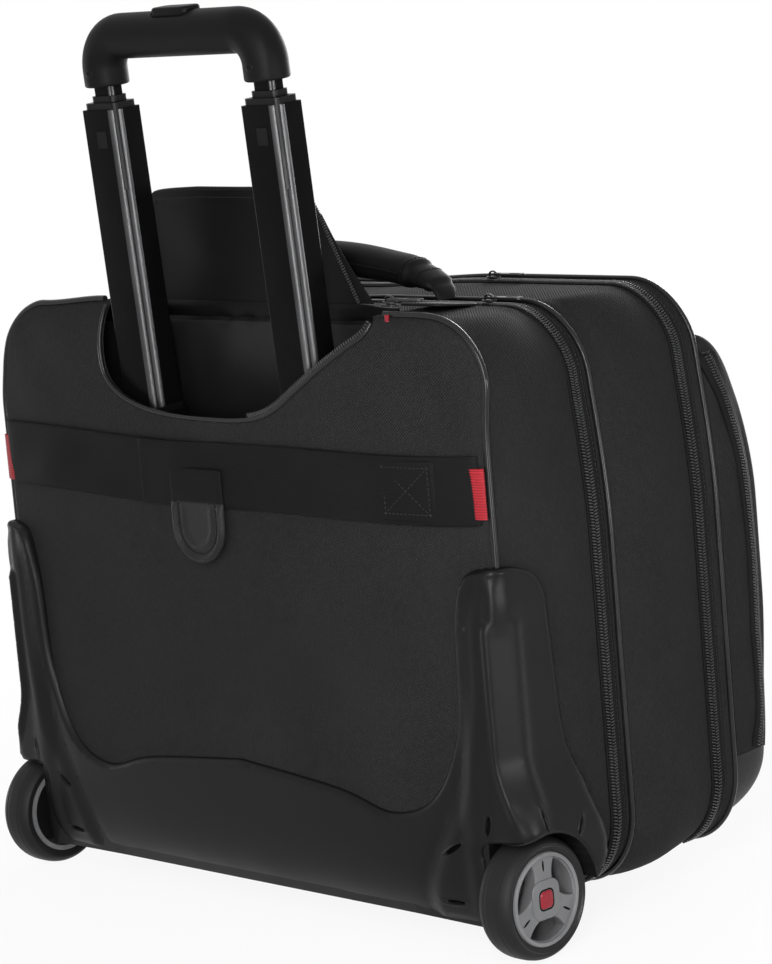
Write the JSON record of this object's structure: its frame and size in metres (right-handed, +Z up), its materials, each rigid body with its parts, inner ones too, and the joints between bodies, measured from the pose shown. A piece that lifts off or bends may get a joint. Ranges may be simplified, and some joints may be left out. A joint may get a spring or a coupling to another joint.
{
  "type": "rolling laptop case",
  "caption": "Soft laptop case on a moulded wheel base, with a telescopic trolley handle through a zipped rear opening, a rear strap, hinged sections and a front pocket.",
  "frame": {"origin": "centre of the bounding box footprint, on the floor", "axes": "+X to the right seen from the trolley side, +Y from the trolley side to the front pocket, +Z up"},
  "size_m": [0.467, 0.2791, 0.5684],
  "materials": {
    "nylon": "woven, matt",
    "lining": "smooth cloth",
    "webbing": "satin",
    "leatherette": "grained",
    "base_plastic": "satin",
    "tube": "black anodised, glossy",
    "collar_plastic": "satin",
    "grip_plastic": "soft matt",
    "tyre": "matt",
    "cap_plastic": "glossy",
    "hub_plastic": "satin",
    "steel": "plain",
    "zip_metal": "dark satin"
  },
  "bodies": {
    "case": {"rear_gusset": "nylon", "rear_panel": "nylon", "trolley_divider": "lining", "base_moulding": "base_plastic", "tube_bracket": "collar_plastic", "strap_left": "webbing", "strap_right": "webbing", "opening_zip_slider": "zip_metal", "rear_zip_slider": "zip_metal", "wheel_axle_left": "steel", "outer_tube_left": "tube", "outer_collar_left": "collar_plastic", "handle_anchor_left": "leatherette", "wheel_axle_right": "steel", "outer_tube_right": "tube", "outer_collar_right": "collar_plastic", "handle_anchor_right": "leatherette"},
    "stage_1": {"stage1_tube_left": "tube", "stage1_collar_left": "collar_plastic", "stage1_glide_left": "collar_plastic", "stage1_tube_right": "tube", "stage1_collar_right": "collar_plastic", "stage1_glide_right": "collar_plastic"},
    "stage_2": {"stage2_tube_left": "tube", "stage2_collar_left": "collar_plastic", "stage2_glide_left": "collar_plastic", "stage2_tube_right": "tube", "stage2_collar_right": "collar_plastic", "stage2_glide_right": "collar_plastic"},
    "grip_stage": {"stage3_tube_left": "tube", "stage3_glide_left": "collar_plastic", "stage3_tube_right": "tube", "stage3_glide_right": "collar_plastic", "grip": "grip_plastic"},
    "wheel_left": {"tyre_left": "tyre", "hub_left": "hub_plastic", "hub_cap_left": "cap_plastic"},
    "wheel_right": {"tyre_right": "tyre", "hub_right": "hub_plastic", "hub_cap_right": "cap_plastic"},
    "release": {"release_button": "grip_plastic", "release_rods": "steel"},
    "flap": {"handle_flap": "lining"},
    "tab": {"strap_tab": "leatherette"},
    "carry": {"carry_handle": "nylon"},
    "mid_section": {"mid_gusset": "nylon", "mid_back": "lining", "laptop_pad": "lining", "foot_left": "base_plastic", "foot_right": "base_plastic", "front_zip_slider": "zip_metal"},
    "front_section": {"front_tray": "nylon", "front_skirt": "leatherette", "pocket_zip_slider": "zip_metal"},
    "pocket": {"pocket_flap": "nylon"},
    "opening_pull": {"opening_zip_pull": "zip_metal"},
    "rear_pull": {"rear_zip_pull": "zip_metal"},
    "front_pull": {"front_zip_pull": "zip_metal"},
    "pocket_pull": {"pocket_zip_pull": "zip_metal"}
  },
  "joints": [
    {"name": "stage_1_slide", "type": "slide", "parent": "case", "child": "stage_1", "axis": [0, -0.0598, 0.9982], "range_m": [-0.18, 0]},
    {"name": "stage_2_slide", "type": "slide", "parent": "stage_1", "child": "stage_2", "axis": [0, -0.0598, 0.9982], "range_m": [0, 0.175]},
    {"name": "stage_3_slide", "type": "slide", "parent": "stage_2", "child": "grip_stage", "axis": [0, -0.0598, 0.9982], "range_m": [0, 0.165]},
    {"name": "button_press", "type": "slide", "parent": "grip_stage", "child": "release", "axis": [0, -0.0598, 0.9982], "range_m": [-0.004, 0], "stiffness_N_per_m": 900, "springref_m": 0.002},
    {"name": "wheel_left_spin", "type": "hinge", "parent": "case", "child": "wheel_left", "pos_m": [-0.2172, -0.10255, 0.037], "axis": [1, 0, 0], "continuous": true},
    {"name": "wheel_right_spin", "type": "hinge", "parent": "case", "child": "wheel_right", "pos_m": [0.2172, -0.10255, 0.037], "axis": [1, 0, 0], "continuous": true},
    {"name": "flap_fold", "type": "hinge", "parent": "case", "child": "flap", "pos_m": [0, -0.07785, 0.38164], "axis": [-1, 0, 0], "range_deg": [-25, 8]},
    {"name": "tab_lift", "type": "hinge", "parent": "case", "child": "tab", "pos_m": [-0.012, -0.12905, 0.285], "axis": [-1, 0, 0], "range_deg": [0, 70]},
    {"name": "carry_handle_swing", "type": "hinge", "parent": "case", "child": "carry", "pos_m": [0, -0.05185, 0.38524], "axis": [-1, 0, 0], "range_deg": [0, 60]},
    {"name": "rear_compartment_open", "type": "hinge", "parent": "case", "child": "mid_section", "pos_m": [0, -0.0212, 0.018], "axis": [-1, 0, 0], "range_deg": [0, 75]},
    {"name": "front_compartment_open", "type": "hinge", "parent": "mid_section", "child": "front_section", "pos_m": [0, 0.0751, 0.018], "axis": [-1, 0, 0], "range_deg": [0, 75]},
    {"name": "front_pocket_open", "type": "hinge", "parent": "front_section", "child": "pocket", "pos_m": [0, 0.13785, 0.07315], "axis": [-1, 0, 0], "range_deg": [0, 50]},
    {"name": "opening_pull_swing", "type": "hinge", "parent": "case", "child": "opening_pull", "pos_m": [0.14, -0.10085, 0.38912], "axis": [0, -1, 0], "range_deg": [0, 100]},
    {"name": "rear_pull_swing", "type": "hinge", "parent": "case", "child": "rear_pull", "pos_m": [0.145, -0.0212, 0.3788], "axis": [0, -1, 0], "range_deg": [0, 100]},
    {"name": "front_pull_swing", "type": "hinge", "parent": "mid_section", "child": "front_pull", "pos_m": [0.06, 0.0751, 0.3785], "axis": [0, -1, 0], "range_deg": [0, 100]},
    {"name": "pocket_pull_swing", "type": "hinge", "parent": "front_section", "child": "pocket_pull", "pos_m": [-0.12, 0.09775, 0.343], "axis": [0, 0, 1], "range_deg": [0, 100]}
  ]
}
